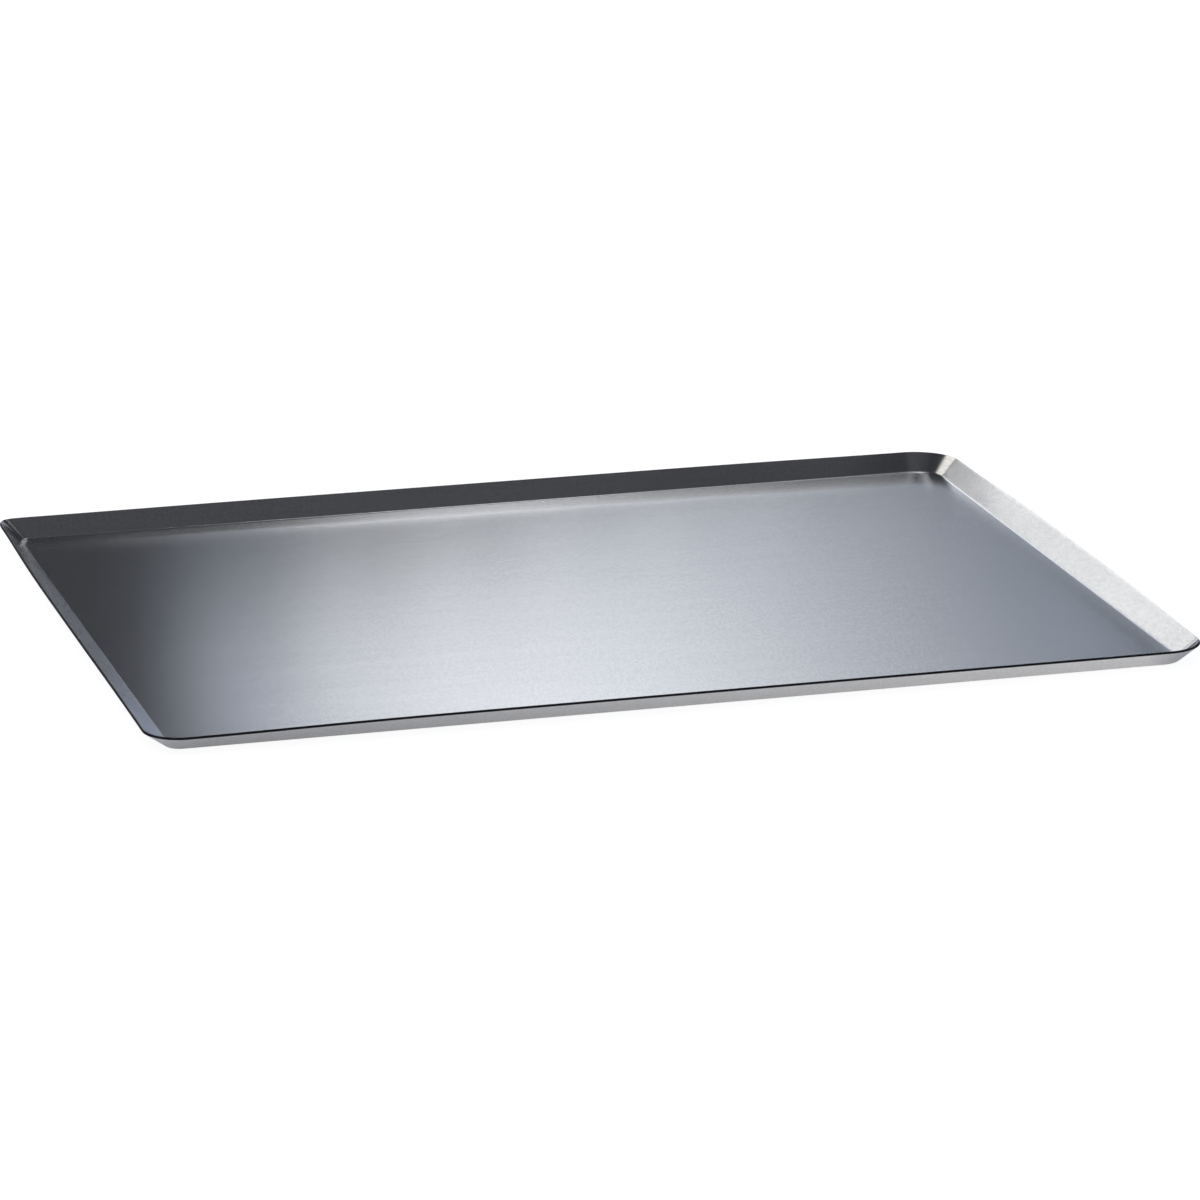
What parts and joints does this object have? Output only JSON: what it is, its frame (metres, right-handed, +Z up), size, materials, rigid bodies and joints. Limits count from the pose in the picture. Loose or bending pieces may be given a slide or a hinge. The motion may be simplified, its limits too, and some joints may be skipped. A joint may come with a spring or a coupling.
{
  "type": "cookie sheet",
  "caption": "Shallow rectangular baking sheet of thin pressed steel with a flat floor, low outward-leaning walls, rounded corners and a bare cut rim.",
  "frame": {"origin": "centre of the flat underside, in the plane that the sheet stands on", "axes": "+Z up out of the open side, X along the long side, Y across it"},
  "size_m": [0.4, 0.3, 0.0078],
  "materials": {
    "satin_steel": "satin rolled carbon steel with a thin blue-grey oxide film, uncoated"
  },
  "bodies": {
    "root": {"baking_sheet": "satin_steel"}
  },
  "joints": []
}
